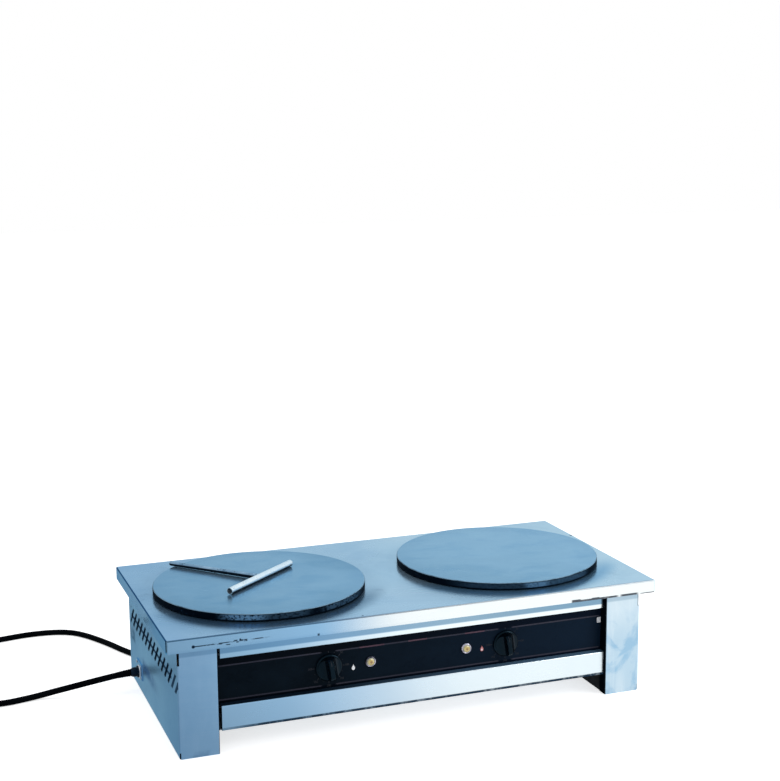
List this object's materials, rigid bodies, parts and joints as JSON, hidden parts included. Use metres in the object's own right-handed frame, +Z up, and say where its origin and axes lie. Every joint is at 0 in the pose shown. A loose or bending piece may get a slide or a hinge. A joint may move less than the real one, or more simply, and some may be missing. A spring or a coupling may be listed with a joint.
{
  "type": "twin electric crepe maker",
  "caption": "Countertop crepe maker: two round cast iron plates on a folded steel housing with rotary thermostats, a mains lead and a loose batter spreader.",
  "frame": {"origin": "middle of the housing's footprint, on the surface it stands on", "axes": "+X to the right seen from the front, +Y to the back, +Z up"},
  "size_m": [1.368, 0.7789, 0.2543],
  "materials": {
    "steel_top": "satin stainless sheet, faint grain",
    "steel_side": "satin stainless sheet, upright grain",
    "steel_front": "satin stainless sheet, level grain",
    "galvanised": "dull zinc-coated sheet",
    "panel_black": "gloss black with a printed border",
    "iron": "ground and seasoned top, dark turned rim",
    "sheath": "oxidised heater sheath",
    "wool": "compressed mineral fibre",
    "fastener": "bright plated steel",
    "ceramic": "cream ceramic and phenolic",
    "copper": "drawn copper tube",
    "knob_black": "moulded phenolic",
    "lens_amber": "pale amber lens",
    "chrome": "polished plating",
    "brass": "plain brass",
    "wire": "silicone insulated wire",
    "gland_black": "moulded nylon",
    "rubber": "rubber sheath",
    "spreader_steel": "worn stainless tube",
    "spreader_rod": "worn stainless rod"
  },
  "bodies": {
    "housing": {"top_panel": "steel_top", "left_side_panel": "steel_side", "right_side_panel": "steel_side", "rear_panel": "steel_side", "upper_rail": "steel_front", "lower_rail": "steel_front", "base_pan": "galvanised", "left_foot_channel": "galvanised", "right_foot_channel": "galvanised", "left_bearers": "galvanised", "right_bearers": "galvanised", "left_heat_tray": "galvanised", "right_heat_tray": "galvanised", "left_element_clamps": "galvanised", "right_element_clamps": "galvanised", "control_panel": "panel_black", "left_cooking_plate": "iron", "right_cooking_plate": "iron", "left_element": "sheath", "right_element": "sheath", "left_insulation": "wool", "right_insulation": "wool", "left_studs": "fastener", "right_studs": "fastener", "left_spacers": "fastener", "right_spacers": "fastener", "left_stud_nuts": "fastener", "right_stud_nuts": "fastener", "rear_screws": "fastener", "base_screws": "fastener", "gland_screws": "fastener", "gland_plate": "fastener", "left_thermostat": "ceramic", "right_thermostat": "ceramic", "terminal_block": "ceramic", "left_capillary": "copper", "right_capillary": "copper", "left_lamp_lens": "lens_amber", "right_lamp_lens": "lens_amber", "left_lamp_body": "chrome", "right_lamp_body": "chrome", "plug_pins": "chrome", "earth_stud": "brass", "wiring": "wire", "cable_gland": "gland_black", "gland_locknut": "gland_black", "strain_relief": "rubber", "power_cord": "rubber", "cord_coil": "rubber", "cord_tail": "rubber", "plug_body": "rubber"},
    "left_control": {"left_knob": "knob_black", "left_knob_shaft": "fastener"},
    "right_control": {"right_knob": "knob_black", "right_knob_shaft": "fastener"},
    "spreader": {"spreader_bar": "spreader_steel", "spreader_handle": "spreader_rod"}
  },
  "joints": [
    {"name": "left_knob_turn", "type": "hinge", "parent": "housing", "child": "left_control", "pos_m": [-0.1715, -0.1945, 0.124], "axis": [0, 1, 0], "range_deg": [0, 270]},
    {"name": "right_knob_turn", "type": "hinge", "parent": "housing", "child": "right_control", "pos_m": [0.1785, -0.1945, 0.124], "axis": [0, 1, 0], "range_deg": [0, 270]},
    {"name": "spreader_lift", "type": "slide", "parent": "housing", "child": "spreader", "axis": [0, 0, 1], "range_m": [0, 0.12]}
  ]
}
